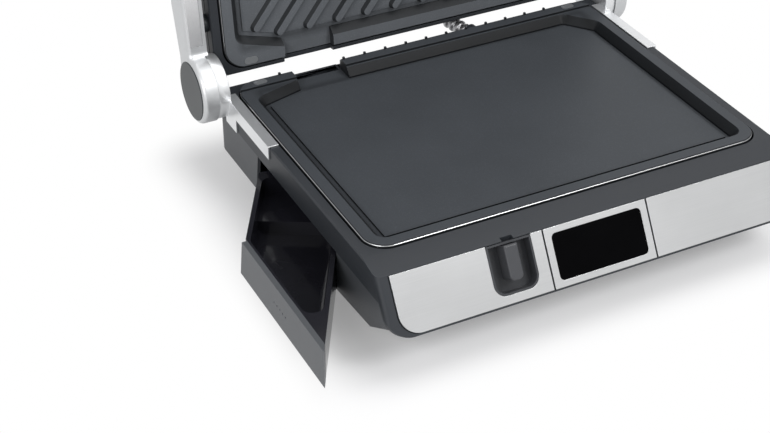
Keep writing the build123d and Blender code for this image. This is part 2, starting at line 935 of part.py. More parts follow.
with BuildPart() as lower_reflector_pan:
    with BuildSketch(Plane.XY.offset(pan_foot)):
        RectangleRounded(pan_width, pan_depth, pan_corner)
    extrude(amount=pan_height)
    with BuildSketch(Plane.XY.offset(pan_foot + pan_wall)):
        RectangleRounded(pan_width - 2 * pan_wall, pan_depth - 2 * pan_wall, pan_corner - pan_wall)
    extrude(amount=pan_height, mode=Mode.SUBTRACT)
    with BuildSketch(Plane.XY.offset(pan_foot + pan_wall)):
        with Locations(pad_places):
            Circle(pad_radius)
    extrude(amount=heater_height - heater_radius - pan_foot - pan_wall)
    with BuildSketch(Plane.XY.offset(pan_foot)):
        with Locations(leg_places):
            Circle(heater_radius + leg_clearance)
    extrude(amount=pan_height, mode=Mode.SUBTRACT)
save(lower_reflector_pan, "lower_reflector_pan")

with BuildPart() as thermostat:
    with BuildSketch(Plane.XY.offset(pan_foot)):
        with Locations((thermostat_x, 0)):
            Circle(thermostat_radius)
    extrude(amount=-thermostat_height)
    fillet(thermostat.edges().group_by(Axis.Z)[0], lever_round)
save(thermostat, "thermostat")

upper_heating_element = upside_down(lower_heating_element)
swing_open(upper_heating_element)
save(upper_heating_element, "upper_heating_element")
upper_reflector_pan = upside_down(lower_reflector_pan)
swing_open(upper_reflector_pan)
save(upper_reflector_pan, "upper_reflector_pan")


# Drip tray, its fascia, the deck that it runs on and the chute above it


def tray_edge(start_y, y):
    """X, at a given y, of a line along the tray's travel that starts at its outer end."""
    return tray_outer + (y - start_y) * tray_x / tray_y


def tray_outline(grow, x_start, y_end):
    """Corners of the tray's plan with its long walls moved outwards."""
    front_start = tray_front_start - grow / tray_x
    rear_start = tray_rear_start + grow / tray_x
    rise = (x_start - tray_outer) * tray_y / tray_x
    return [
        (x_start, front_start + rise),
        (tray_edge(front_start, y_end), y_end),
        (tray_edge(rear_start, y_end), y_end),
        (x_start, rear_start + rise),
    ]


pull = Location((-tray_pull * tray_x, -tray_pull * tray_y, 0))
cavity_start = tray_outer + tray_wall / 2
cavity_end = tray_end - tray_end_rake - tray_wall
cavity_floor = tray_foot + tray_floor
step_rear = tray_rear_start - tray_wall / tray_x / 2
step_front = tray_front_start + tray_wall / tray_x / 2
step_span = (step_rear - step_front) * tray_x
step_x = tray_edge(step_rear, step_start)
with BuildPart() as drip_tray:
    with BuildSketch(Plane.XY.offset(tray_foot)):
        with BuildLine():
            Polyline(*tray_outline(0, tray_outer, tray_end), close=True)
        make_face()
    extrude(amount=tray_height)
    with BuildSketch(Plane.XY.offset(cavity_floor)) as cavity:
        with BuildLine():
            Polyline(*tray_outline(-tray_wall, cavity_start, cavity_end), close=True)
        make_face()
        fillet(cavity.vertices(), tray_corner)
    extrude(amount=tray_height, mode=Mode.SUBTRACT)
    low_edges = drip_tray.edges().filter_by_position(
        Axis.Z, cavity_floor - 0.1, cavity_floor + 0.1
    )
    fillet(low_edges, tray_fillet)
    # Raised inner part of the floor
    with BuildSketch(Plane.XY.offset(cavity_floor - tray_floor / 2)):
        with BuildLine():
            Polyline(
                (step_x, step_start),
                (step_x + step_span * tray_y, step_start - step_span * tray_x),
                (tray_edge(step_front, cavity_end + 1), cavity_end + 1),
                (tray_edge(step_rear, cavity_end + 1), cavity_end + 1),
                close=True,
            )
        make_face()
    extrude(amount=step_height)
    # Rake of the inner end
    with BuildSketch(Plane.YZ.offset(tray_outer)):
        with BuildLine():
            Polyline(
                (tray_end + 1, tray_top),
                (tray_end + 1, tray_foot - 1),
                (tray_end - tray_end_rake, tray_foot - 1),
                (tray_end, tray_top),
                close=True,
            )
        make_face()
    extrude(amount=-tray_outer, mode=Mode.SUBTRACT)
drip_tray.part = pull * drip_tray.part
save(drip_tray, "drip_tray")

bevel = tray_y / tray_x
with BuildPart() as tray_fascia:
    with BuildSketch(Plane.YZ.offset(fascia_x)):
        with BuildLine():
            Polyline(
                (fascia_front, side_foot),
                (fascia_front, tray_top),
                (fascia_rear, tray_top),
                (fascia_rear_foot, side_foot),
                close=True,
            )
        make_face()
    extrude(amount=fascia_thickness)
    with BuildSketch(Plane.XY.offset(side_foot)):
        with BuildLine():
            Polyline(
                (fascia_x - 1, fascia_front - bevel),
                (tray_outer + 1, fascia_front + (fascia_thickness + 1) * bevel),
                (tray_outer + 1, fascia_front - bevel),
                close=True,
            )
        make_face()
    extrude(amount=tray_top - side_foot, mode=Mode.SUBTRACT)
    with BuildSketch(Plane.YZ.offset(fascia_x)):
        with Locations((dot_middle, (side_foot + tray_top) / 2)):
            with GridLocations(dot_pitch, dot_pitch, dot_count, 1):
                Circle(dot_radius)
    extrude(amount=dot_depth, mode=Mode.SUBTRACT)
tray_fascia.part = pull * tray_fascia.part
save(tray_fascia, "tray_fascia")

deck_top = tray_foot - seat_clearance
with BuildPart() as tray_guides:
    with BuildSketch(Plane.XY.offset(deck_top - deck_thickness)):
        with BuildLine():
            Polyline(*tray_outline(deck_gap + deck_lip, deck_start, deck_end), close=True)
        make_face()
    extrude(amount=deck_thickness + deck_lip_height)
    with BuildSketch(Plane.XY.offset(deck_top)):
        with BuildLine():
            Polyline(*tray_outline(deck_gap, deck_start - 1, deck_end + 1), close=True)
        make_face()
    extrude(amount=deck_lip_height + 1, mode=Mode.SUBTRACT)
    with BuildSketch(Plane.XY.offset(body_floor + body_wall)):
        with Locations(*deck_leg_places):
            Circle(deck_leg)
    extrude(amount=deck_top - body_floor - body_wall - 1)
save(tray_guides, "tray_guides")

chute_edge = pocket_y + chute_gap
with BuildPart() as drain_chute:
    with BuildSketch(Plane.YZ.offset(spout_middle - chute_width / 2)):
        with BuildLine():
            Polyline(
                (chute_edge, chute_foot),
                (chute_edge, chute_top),
                (chute_back, chute_top),
                (chute_edge + chute_throat, chute_foot),
                close=True,
            )
        make_face()
    extrude(amount=chute_width)
    with BuildSketch(Plane.XY.offset(hump_crest)):
        with Locations((spout_middle, frame_rear + body_gap)):
            Rectangle(
                chute_width + 2 * chute_flange,
                hump_crest_depth - body_gap,
                align=(Align.CENTER, Align.MIN),
            )
    extrude(amount=chute_wall)
    with BuildSketch(Plane.YZ.offset(spout_middle - spout_width / 2)):
        with BuildLine():
            Polyline(
                (chute_edge + chute_wall, chute_foot - 1),
                (chute_edge + chute_wall, chute_top + 1),
                (chute_back - chute_wall, chute_top + 1),
                (chute_edge + chute_throat - chute_wall, chute_foot - 1),
                close=True,
            )
        make_face()
    extrude(amount=spout_width, mode=Mode.SUBTRACT)
save(drain_chute, "drain_chute")


# Hinge brackets and pins

bracket_x = -half_frame - bracket_wall
bracket_rear = hinge_y - bracket_radius + bracket_overlap
with BuildPart() as hinge_bracket_left:
    with BuildSketch(Plane.YZ.offset(-bracket_outer)):
        with Locations((hinge_y, hinge_z)):
            Circle(bracket_radius)
    extrude(amount=bracket_outer - half_frame)
    with BuildSketch(Plane.YZ.offset(bracket_x)):
        with BuildLine():
            Polyline(
                (bracket_front, frame_top + bracket_wall),
                (bracket_front, frame_top - bracket_side),
                (bracket_knee, frame_top - bracket_side),
                (bracket_knee, frame_foot),
                (bracket_rear, frame_foot),
                (bracket_rear, frame_top + bracket_wall),
                close=True,
            )
        make_face()
    extrude(amount=bracket_wall)
    with BuildSketch(Plane.XY.offset(frame_top)):
        with Locations((bracket_x, bracket_front)):
            Rectangle(
                bracket_top_width,
                bracket_rear - bracket_front,
                align=(Align.MIN, Align.MIN),
            )
    extrude(amount=bracket_wall)
    with BuildSketch(Plane.YZ.offset(-bracket_outer)):
        with Locations((hinge_y, hinge_z)):
            Circle(pin_radius + running_clearance)
    extrude(amount=pin_seat, mode=Mode.SUBTRACT)
save(hinge_bracket_left, "hinge_bracket_left")
hinge_bracket_right = mirrored(hinge_bracket_left)
save(hinge_bracket_right, "hinge_bracket_right")

with BuildPart() as hinge_pin_left:
    with BuildSketch(Plane.YZ.offset(-bracket_outer - pin_reach)):
        with Locations((hinge_y, hinge_z)):
            Circle(pin_radius)
    extrude(amount=pin_reach + pin_seat)
    chamfer(hinge_pin_left.edges().group_by(Axis.X)[0], edge_chamfer)
save(hinge_pin_left, "hinge_pin_left")
hinge_pin_right = mirrored(hinge_pin_left)
save(hinge_pin_right, "hinge_pin_right")


# Handle: two arms with hubs, trim strips, hub caps and a bar, built closed and swung open

with BuildPart() as arm_left:
    with BuildSketch(Plane.YZ.offset(-arm_outer)) as arm_side:
        with BuildLine():
            Polyline(
                (hinge_y, arm_bottom),
                (hinge_y, hinge_z + hub_radius - 3),
                (arm_neck_y, arm_neck_z),
                (arm_shoulder_y, arm_top),
                (-arm_front, arm_top - arm_fall),
                (-arm_front, arm_bottom),
                close=True,
            )
        make_face()
        fillet(arm_side.vertices().group_by(Axis.X)[0], arm_nose)
        with Locations((hinge_y, hinge_z)):
            Circle(hub_radius)
        throat = arm_side.vertices().sort_by_distance((hinge_y - hub_radius, arm_bottom))[0]
        fillet(throat, arm_throat)
    extrude(amount=arm_outer - arm_inner)
    outer_face = arm_left.faces().filter_by(Axis.X).sort_by(Axis.X)[0]
    fillet(outer_face.edges(), arm_round)
    # Room for the disc of the hinge bracket
    with BuildSketch(Plane.YZ.offset(-hub_inner)):
        with Locations((hinge_y, hinge_z)):
            Circle(hub_radius + hub_clearance)
            Rectangle(
                2 * hub_radius,
                2 * (hub_radius + hub_clearance),
                align=(Align.MIN, Align.CENTER),
            )
    extrude(amount=hub_width, mode=Mode.SUBTRACT)
    # Bore for the hinge pin and recess for the hub cap
    with BuildSketch(Plane.YZ.offset(-hub_inner)):
        with Locations((hinge_y, hinge_z)):
            Circle(pin_radius + running_clearance)
    extrude(amount=-pin_reach - pin_end_gap, mode=Mode.SUBTRACT)
    with BuildSketch(Plane.YZ.offset(-arm_outer)):
        with Locations((hinge_y, hinge_z)):
            Circle(cap_radius + running_clearance)
    extrude(amount=cap_thickness - cap_proud, mode=Mode.SUBTRACT)
    # Recess for the trim strip in the underside
    with BuildSketch(Plane.XY.offset(arm_bottom)):
        with Locations((trim_inset - arm_outer, (trim_rear - trim_front) / 2)):
            Rectangle(trim_width, trim_rear + trim_front, align=(Align.MIN, Align.CENTER))
    extrude(amount=trim_thickness, mode=Mode.SUBTRACT)
arm_right = mirrored(arm_left)

with BuildPart() as arm_trim_left:
    with BuildSketch(Plane.XY.offset(arm_bottom)):
        with Locations((trim_inset - arm_outer + trim_fit, (trim_rear - trim_front) / 2)):
            Rectangle(
                trim_width - 2 * trim_fit,
                trim_rear + trim_front - 2 * trim_fit,
                align=(Align.MIN, Align.CENTER),
            )
    extrude(amount=trim_thickness)
arm_trim_right = mirrored(arm_trim_left)

with BuildPart() as hinge_cap_left:
    with BuildSketch(Plane.YZ.offset(-arm_outer - cap_proud)):
        with Locations((hinge_y, hinge_z)):
            Circle(cap_radius)
    extrude(amount=cap_thickness)
    chamfer(hinge_cap_left.edges().group_by(Axis.X)[0], cap_proud / 2)
hinge_cap_right = mirrored(hinge_cap_left)

with BuildPart() as handle_bar:
    with BuildSketch(Plane.YZ.offset(-arm_inner)):
        with Locations((bar_y, bar_z)):
            RectangleRounded(bar_depth, bar_height, bar_round)
    extrude(amount=2 * arm_inner)

with BuildPart() as lid_pivot_left:
    with BuildSketch(Plane.YZ.offset(-arm_inner)):
        with Locations((pivot_y, pivot_z)):
            Circle(pivot_collar)
    extrude(amount=arm_inner - half_body - seat_clearance)
    with BuildSketch(Plane.YZ.offset(-half_body - 1)):
        with Locations((pivot_y, pivot_z)):
            Circle(pivot_radius)
    extrude(amount=pivot_reach + 1)
lid_pivot_right = mirrored(lid_pivot_left)

handle_pieces = {
    "arm_left": arm_left,
    "arm_right": arm_right,
    "arm_trim_left": arm_trim_left,
    "arm_trim_right": arm_trim_right,
    "hinge_cap_left": hinge_cap_left,
    "hinge_cap_right": hinge_cap_right,
    "handle_bar": handle_bar,
    "lid_pivot_left": lid_pivot_left,
    "lid_pivot_right": lid_pivot_right,
}
for piece_name, handle_piece in handle_pieces.items():
    swing_open(handle_piece)
    save(handle_piece, piece_name)


# Lid: a frame for the upper plate and a crowned cover, built closed and swung open

lid_foot = 2 * mid_height - frame_top
lid_seam = 2 * mid_height - frame_foot
lid_ledge = 2 * mid_height - ledge_top
lid_ledge_top = 2 * mid_height - ledge_foot
lid_middle = (lid_rear - lid_front) / 2
lid_depth = lid_rear + lid_front
stem_foot = lid_foot + upper_stem_rise
with BuildPart() as lid_frame:
    with BuildSketch(Plane.XY.offset(lid_foot)):
        with Locations((0, lid_middle)):
            RectangleRounded(2 * half_body, lid_depth, lid_corner)
    extrude(amount=lid_seam - lid_foot)
    chamfer(lid_frame.faces().sort_by(Axis.Z)[0].edges(), frame_edge)
    with BuildSketch(Plane.XY.offset(lid_foot + lid_groove_rise)):
        with Locations((0, lid_middle)):
            Rectangle(2 * half_body + 2, lid_depth + 2)
            RectangleRounded(
                2 * (half_body - lid_groove),
                lid_depth - 2 * lid_groove,
                lid_corner - lid_groove,
                mode=Mode.SUBTRACT,
            )
    extrude(amount=lid_groove, mode=Mode.SUBTRACT)
    with BuildSketch(Plane.XY.offset(lid_foot)):
        RectangleRounded(
            plate_width + 2 * plate_clearance,
            plate_depth + 2 * plate_clearance,
            plate_corner + plate_clearance,
        )
    extrude(amount=lid_ledge - lid_foot, mode=Mode.SUBTRACT)
    with BuildSketch(Plane.XY.offset(lid_foot)):
        RectangleRounded(
            plate_width - 2 * ledge_width, plate_depth - 2 * ledge_width, plate_corner
        )
    extrude(amount=frame_height, mode=Mode.SUBTRACT)
    with BuildSketch(Plane.XY.offset(lid_ledge_top)):
        with Locations((0, lid_middle)):
            Rectangle(2 * (half_body - frame_wall), lid_depth - 2 * frame_wall)
    extrude(amount=lid_seam - lid_ledge_top, mode=Mode.SUBTRACT)
    # Gap over the spout
    with BuildSketch(Plane.XY.offset(lid_foot)):
        with Locations((spout_middle, half_y)):
            Rectangle(spout_width, lid_rear, align=(Align.CENTER, Align.MIN))
    extrude(amount=basin_depth, mode=Mode.SUBTRACT)
    # Slot for the upper release lever, and bores for the pivots
    with BuildSketch(Plane.XZ.offset(pocket_y - 1)):
        with Locations((lever_x, stem_foot - slot_clearance)):
            Rectangle(
                stem_width + 2 * slot_clearance,
                upper_stem_height + upper_travel + 2 * slot_clearance,
                align=(Align.CENTER, Align.MIN),
            )
    extrude(amount=lid_front, mode=Mode.SUBTRACT)
    with BuildSketch(Plane.YZ.offset(-half_body)):
        with Locations((pivot_y, pivot_z)):
            Circle(pivot_radius + running_clearance)
    extrude(amount=pivot_reach + 0.6, mode=Mode.SUBTRACT)
    with BuildSketch(Plane.YZ.offset(half_body)):
        with Locations((pivot_y, pivot_z)):
            Circle(pivot_radius + running_clearance)
    extrude(amount=-pivot_reach - 0.6, mode=Mode.SUBTRACT)
swing_open(lid_frame)
save(lid_frame, "lid_frame")


def crown(inset, foot):
    """Solid of the lid's cover, shrunk on every side but its foot."""
    with BuildPart() as solid:
        with BuildSketch(Plane.YZ.offset(inset - half_body)) as side_view:
            with BuildLine():
                Polyline(
                    (lid_rear, lid_seam),
                    (lid_rear, lid_crown),
                    (lid_crown_front, lid_crown),
                    (-lid_front, lid_front_crown),
                    (-lid_front, lid_seam),
                    close=True,
                )
            make_face()
            for corner, radius in (
                ((lid_rear, lid_crown), lid_round),
                ((lid_crown_front, lid_crown), lid_brow),
                ((-lid_front, lid_front_crown), lid_nose),
            ):
                fillet(side_view.vertices().sort_by_distance((*corner, 0))[0], radius)
            if inset > 0:
                offset(amount=-inset)
        extrude(amount=2 * (half_body - inset))
        with BuildSketch(Plane.XZ.offset(-lid_rear)) as front_view:
            with Locations((0, lid_seam)):
                Rectangle(2 * half_body, lid_crown - lid_seam, align=(Align.CENTER, Align.MIN))
            fillet(front_view.vertices().group_by(Axis.Y)[-1], lid_round)
            if inset > 0:
                offset(amount=-inset)
        extrude(amount=lid_depth, mode=Mode.INTERSECT)
        if inset > 0:
            with BuildSketch(Plane.XY.offset(foot)):
                with Locations((0, lid_middle)):
                    Rectangle(2 * (half_body - inset), lid_depth - 2 * inset)
            extrude(amount=lid_seam + 2 * inset - foot)
        with BuildSketch(Plane.XY.offset(foot)):
            with Locations((0, lid_middle)):
                RectangleRounded(2 * (half_body - inset), lid_depth - 2 * inset, lid_corner - inset)
        extrude(amount=lid_crown, mode=Mode.INTERSECT)
    return solid


# Route of the conduit: out of the hump, then up into the rear face of the opened lid
lid_up = Vector(0, -opened_cos, opened_sin)
conduit_leg = conduit_bend * tan(radians(conduit_heading.get_angle(lid_up) / 2))
conduit_start = conduit_from + conduit_heading * collar_out
conduit_corner = conduit_start + conduit_heading * (conduit_run + conduit_leg)
conduit_end = conduit_corner + lid_up * (conduit_leg + conduit_end_run)
entry_x = conduit_corner.X
entry_z = (
    hinge_z
    + (conduit_corner.Y - hinge_y) * opened_sin
    + (conduit_corner.Z - hinge_z) * opened_cos
)

outer_crown = crown(0, lid_seam)
inner_crown = crown(cover_wall, lid_seam - 1)
with BuildPart() as lid_cover:
    add(outer_crown.part)
    add(inner_crown.part, mode=Mode.SUBTRACT)
    with BuildSketch(Plane.XZ.offset(-lid_rear - 1)):
        with Locations((entry_x, entry_z)):
            Circle(lid_collar_spigot + running_clearance)
    extrude(amount=4 * cover_wall, mode=Mode.SUBTRACT)
swing_open(lid_cover)
save(lid_cover, "lid_cover")

with BuildPart() as conduit_collar_lid:
    with BuildSketch(Plane.XZ.offset(-lid_rear - lid_collar_thickness)):
        with Locations((entry_x, entry_z)):
            Circle(lid_collar_radius)
    extrude(amount=lid_collar_thickness)
    fillet(conduit_collar_lid.edges().group_by(Axis.Y)[-1], 1)
    with BuildSketch(Plane.XZ.offset(-lid_rear)):
        with Locations((entry_x, entry_z)):
            Circle(lid_collar_spigot)
    extrude(amount=cover_wall)
    with BuildSketch(Plane.XZ.offset(-lid_rear - lid_collar_thickness)):
        with Locations((entry_x, entry_z)):
            Circle(lid_collar_bore)
    extrude(amount=lid_collar_thickness + cover_wall, mode=Mode.SUBTRACT)
swing_open(conduit_collar_lid)
save(conduit_collar_lid, "conduit_collar_lid")

with BuildPart() as upper_release_lever:
    with BuildSketch(Plane.XZ.offset(lid_front + seat_clearance)) as upper_bar:
        with Locations((lever_x, stem_foot + upper_stem_height / 2)):
            Rectangle(lever_width, upper_lever_height)
        fillet(upper_bar.vertices(), lever_width / 4)
    extrude(amount=upper_lever_proud)
    fillet(upper_release_lever.faces().sort_by(Axis.Y)[0].edges(), lever_round / 2)
    with BuildSketch(Plane.XZ.offset(half_y + latch_gap)):
        with Locations((lever_x, stem_foot)):
            Rectangle(stem_width, upper_stem_height, align=(Align.CENTER, Align.MIN))
    extrude(amount=lid_front + seat_clearance - half_y - latch_gap)
swing_open(upper_release_lever)
save(upper_release_lever, "upper_release_lever")


# Ribbed wiring conduit and its collar on the base

with BuildPart() as conduit_collar_base:
    with BuildSketch(collar_plane.offset(-collar_in)):
        Circle(collar_radius)
    extrude(amount=collar_in + collar_out)
    fillet(conduit_collar_base.edges().sort_by(collar_axis)[-1], 1)
save(conduit_collar_base, "conduit_collar_base")

with BuildLine() as conduit_path:
    FilletPolyline(conduit_start, conduit_corner, conduit_end, radius=conduit_bend)
conduit_wire = conduit_path.wires()[0]
conduit_normal = conduit_heading.cross(lid_up).normalized()
rib_count = round(conduit_wire.length / conduit_pitch)
print("conduit length", round(conduit_wire.length, 2), "ribs", rib_count, "bend", conduit_bend)


def conduit_plane(share):
    """Plane across the conduit at a share of its length, with a steady x axis."""
    return Plane(origin=conduit_wire @ share, x_dir=conduit_normal, z_dir=conduit_wire % share)


rib_steps = ((0.0, conduit_root), (0.3, conduit_radius), (0.6, conduit_radius), (0.9, conduit_root))
with BuildPart() as wiring_conduit:
    for rib in range(rib_count):
        for step, radius in rib_steps:
            with BuildSketch(conduit_plane((rib + step) / rib_count)):
                Circle(radius)
    with BuildSketch(conduit_plane(1.0)):
        Circle(conduit_root)
    loft(ruled=True)
    with BuildSketch(conduit_plane(0.0)):
        Circle(conduit_bore)
    sweep(path=conduit_wire, mode=Mode.SUBTRACT)
save(wiring_conduit, "wiring_conduit")
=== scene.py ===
import json
from math import copysign, radians

import bmesh
import bpy
from mathutils import Matrix, Vector


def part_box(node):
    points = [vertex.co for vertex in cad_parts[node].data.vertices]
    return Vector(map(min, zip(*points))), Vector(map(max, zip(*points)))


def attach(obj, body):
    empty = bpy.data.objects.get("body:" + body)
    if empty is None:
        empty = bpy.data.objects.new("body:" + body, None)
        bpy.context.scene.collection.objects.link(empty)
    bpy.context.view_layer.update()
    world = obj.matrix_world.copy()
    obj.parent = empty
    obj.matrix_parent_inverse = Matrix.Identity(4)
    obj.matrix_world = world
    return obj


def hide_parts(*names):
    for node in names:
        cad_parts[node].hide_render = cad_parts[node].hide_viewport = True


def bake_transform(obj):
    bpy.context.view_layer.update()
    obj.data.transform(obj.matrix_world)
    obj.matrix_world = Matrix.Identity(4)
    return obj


# Contact grill that rests with its lid open and its drip tray pulled out. Metres.
# The origin is on the table below the middle of the plates, +X right, +Y back, +Z up.

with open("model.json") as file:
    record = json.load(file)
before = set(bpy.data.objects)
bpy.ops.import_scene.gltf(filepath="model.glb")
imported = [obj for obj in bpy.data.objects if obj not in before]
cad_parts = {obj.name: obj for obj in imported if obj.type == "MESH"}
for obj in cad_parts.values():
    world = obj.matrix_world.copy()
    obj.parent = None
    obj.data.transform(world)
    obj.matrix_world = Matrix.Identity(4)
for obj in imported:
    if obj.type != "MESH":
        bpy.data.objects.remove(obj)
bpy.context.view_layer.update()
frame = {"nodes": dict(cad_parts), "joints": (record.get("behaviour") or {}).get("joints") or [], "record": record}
nodes = frame["nodes"]
record = frame["record"]
slot_of = {part["node"]: part["material_slot"] for part in record["subparts"]}
joints = {joint["name"]: joint for joint in frame["joints"]}

MM = 0.001

# Hinge, and the turn from the open lid back to the closed one
HINGE = Vector(joints["lid_hinge"]["pos_m"])
OPEN_ANGLE = radians(-joints["lid_hinge"]["range_deg"][0])

# Camera of the photograph
CAMERA_PLACE = Vector((-0.5495, -0.9080, 0.7160))
CAMERA_RIGHT = Vector((0.8920, -0.4520, 0.0))
CAMERA_FORWARD = Vector((0.3717, 0.7336, -0.5689))
CAMERA_LENS = 76.94
CAMERA_SENSOR = 36.0

# Cooking plates, the bright machined edge round them, and the inset of the band of painted shade at the foot of a
# basin wall
lower_low, lower_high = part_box("lower_plate")
PLATE_HALF_X = lower_high.x
PLATE_HALF_Y = lower_high.y
PLATE_CORNER = 17 * MM
RIM_HEIGHT = 80 * MM
PLATE_GAP = 4 * MM
EDGE_WIDTH = 0.35 * MM
EDGE_HEIGHT = 1.15 * MM
PAINTED_SHADE_INSET = 15 * MM

# Front corners, where the panels reach nearly to the sides
PANEL_END = 150 * MM
PANEL_ARC = 16 * MM
PANEL_SHIFT = 8.4 * MM
RECESS_SHIFT = 9.6 * MM
RECESS_FOOT = 36.2 * MM
RECESS_TOP = 73.9 * MM
CORNER_TOP = 45 * MM
CORNER_FADE = 18 * MM
CORNER_INNER = 148 * MM
CORNER_SPAN = 14 * MM
CORNER_BACK = 12 * MM
CORNER_LIFT = 4 * MM
RECESS_SLACK = 0.4 * MM
RECESS_FRONT = -140 * MM
CORNER_FRONT = -135 * MM

# Mending and rounding of meshes
WELD_REACH = 0.002 * MM
FLAT_ANGLE = radians(0.2)
SMOOTH_ANGLE = radians(30)
BEVEL_ANGLE = radians(35)
BEVEL_STEPS = 2

# Bare metal, the turn of streaks that run up an arm, and how much lighter the painted edge highlight makes an edge
BARE_METAL = (0.36, 0.365, 0.37, 1.0)
STREAKS_UP_ARM = (0.0, radians(90), 0.0)
EDGE_HIGHLIGHT_LIFT = 1.9

# Floor, which keeps its shadows near the body and fades into the background past it
FLOOR_SIZE = 30.0
FLOOR_WHITE = (0.92, 0.92, 0.93, 1.0)
SHADOW_HALF_X = 170 * MM
SHADOW_HALF_Y = 150 * MM
SHADOW_FADE = 60 * MM
SHADOW_GLOW = 0.25

# Strength of the light tent on surfaces, and as it is seen
TENT_LIGHT = 0.36
TENT_SEEN = 1.0
LAMP_AIM = Vector((0.0, 0.0, 0.1))


def look_from(place, right, forward):
    """Matrix of a camera at a place with the given right and forward directions."""
    right = right.normalized()
    forward = forward.normalized()
    up = right.cross(forward)
    turn = Matrix((right, up, -forward)).transposed()
    return Matrix.Translation(place) @ turn.to_4x4()


def set_camera():
    """The camera of the photograph."""
    data = bpy.data.cameras.new("photo_camera")
    data.sensor_width = CAMERA_SENSOR
    data.sensor_fit = "HORIZONTAL"
    data.lens = CAMERA_LENS
    data.clip_start = 0.01
    camera = bpy.data.objects.new("photo_camera", data)
    camera.matrix_world = look_from(CAMERA_PLACE, CAMERA_RIGHT, CAMERA_FORWARD)
    bpy.context.scene.collection.objects.link(camera)
    bpy.context.scene.camera = camera


# Shader helpers

FLOAT = "NodeSocketFloat"
COLOR = "NodeSocketColor"
VECTOR = "NodeSocketVector"


def put(tree, kind, inputs=None, **properties):
    """A new node, with its properties, and its inputs set or linked by name or number."""
    made = tree.nodes.new(kind)
    for name, value in properties.items():
        setattr(made, name, value)
    for name, value in (inputs or {}).items():
        if isinstance(value, bpy.types.NodeSocket):
            tree.links.new(value, made.inputs[name])
        else:
            made.inputs[name].default_value = value
    return made


def calc(tree, operation, first, second=0.0, third=0.0):
    """Output of a Math node."""
    inputs = {0: first, 1: second, 2: third}
    return put(tree, "ShaderNodeMath", inputs, operation=operation).outputs[0]


def remap(tree, value, low, high, to_low, to_high):
    """Output of a Map Range node."""
    inputs = {"Value": value, "From Min": low, "From Max": high, "To Min": to_low, "To Max": to_high}
    return put(tree, "ShaderNodeMapRange", inputs).outputs["Result"]


def start_group(name, inputs, outputs):
    """An empty shader group with named sockets, and its input and output nodes."""
    tree = bpy.data.node_groups.new(name, "ShaderNodeTree")
    for socket_name, kind, default in inputs:
        socket = tree.interface.new_socket(socket_name, in_out="INPUT", socket_type=kind)
        if default is not None:
            socket.default_value = default
    for socket_name, kind in outputs:
        tree.interface.new_socket(socket_name, in_out="OUTPUT", socket_type=kind)
    entry = tree.nodes.new("NodeGroupInput")
    result = tree.nodes.new("NodeGroupOutput")
    return tree, entry.outputs, result.inputs


def make_surface_variation():
    """Slow changes of colour and roughness over a surface."""
    tree, given, result = start_group(
        "surface variation",
        [
            ("Vector", VECTOR, None),
            ("Color", COLOR, (0.5, 0.5, 0.5, 1.0)),
            ("Roughness", FLOAT, 0.5),
            ("Spread", FLOAT, 0.05),
            ("Size", FLOAT, 0.05),
        ],
        [("Color", COLOR), ("Roughness", FLOAT)],
    )
    density = calc(tree, "DIVIDE", 1.0, given["Size"])
    clouds = put(
        tree,
        "ShaderNodeTexNoise",
        {"Vector": given["Vector"], "Scale": density, "Detail": 4.0, "Roughness": 0.55},
    )
    swing = remap(tree, clouds.outputs["Fac"], 0.3, 0.7, -1.0, 1.0)
    change = calc(tree, "MULTIPLY_ADD", swing, given["Spread"], 1.0)
    tinted = put(tree, "ShaderNodeHueSaturation", {"Color": given["Color"], "Value": change})
    tree.links.new(tinted.outputs["Color"], result["Color"])
    tree.links.new(calc(tree, "MULTIPLY", given["Roughness"], change), result["Roughness"])
    return tree


def make_moulded_grain():
    """Fine pebbled grain of moulded plastic or of a sprayed coating."""
    tree, given, result = start_group(
        "moulded grain",
        [("Vector", VECTOR, None), ("Size", FLOAT, 0.0008), ("Softness", FLOAT, 0.5)],
        [("Height", FLOAT)],
    )
    density = calc(tree, "DIVIDE", 1.0, given["Size"])
    pebbles = put(
        tree,
        "ShaderNodeTexVoronoi",
        {"Vector": given["Vector"], "Scale": density, "Smoothness": given["Softness"]},
        feature="SMOOTH_F1",
    )
    fine = put(
        tree,
        "ShaderNodeTexNoise",
        {"Vector": given["Vector"], "Scale": density, "Detail": 2.0},
    )
    height = calc(tree, "MULTIPLY_ADD", pebbles.outputs["Distance"], 0.6, fine.outputs["Fac"])
    tree.links.new(height, result["Height"])
    return tree


def make_brushed_streaks():
    """Streaks along X of brushed metal."""
    tree, given, result = start_group(
        "brushed streaks",
        [("Vector", VECTOR, None), ("Length", FLOAT, 0.08), ("Width", FLOAT, 0.0004)],
        [("Streaks", FLOAT)],
    )
    stretch = put(
        tree,
        "ShaderNodeCombineXYZ",
        {"X": given["Length"], "Y": given["Width"], "Z": given["Width"]},
    )
    squeezed = put(
        tree,
        "ShaderNodeVectorMath",
        {0: given["Vector"], 1: stretch.outputs[0]},
        operation="DIVIDE",
    )
    hair = put(
        tree,
        "ShaderNodeTexNoise",
        {"Vector": squeezed.outputs[0], "Scale": 1.0, "Detail": 3.0, "Roughness": 0.7},
    )
    tree.links.new(hair.outputs["Fac"], result["Streaks"])
    return tree


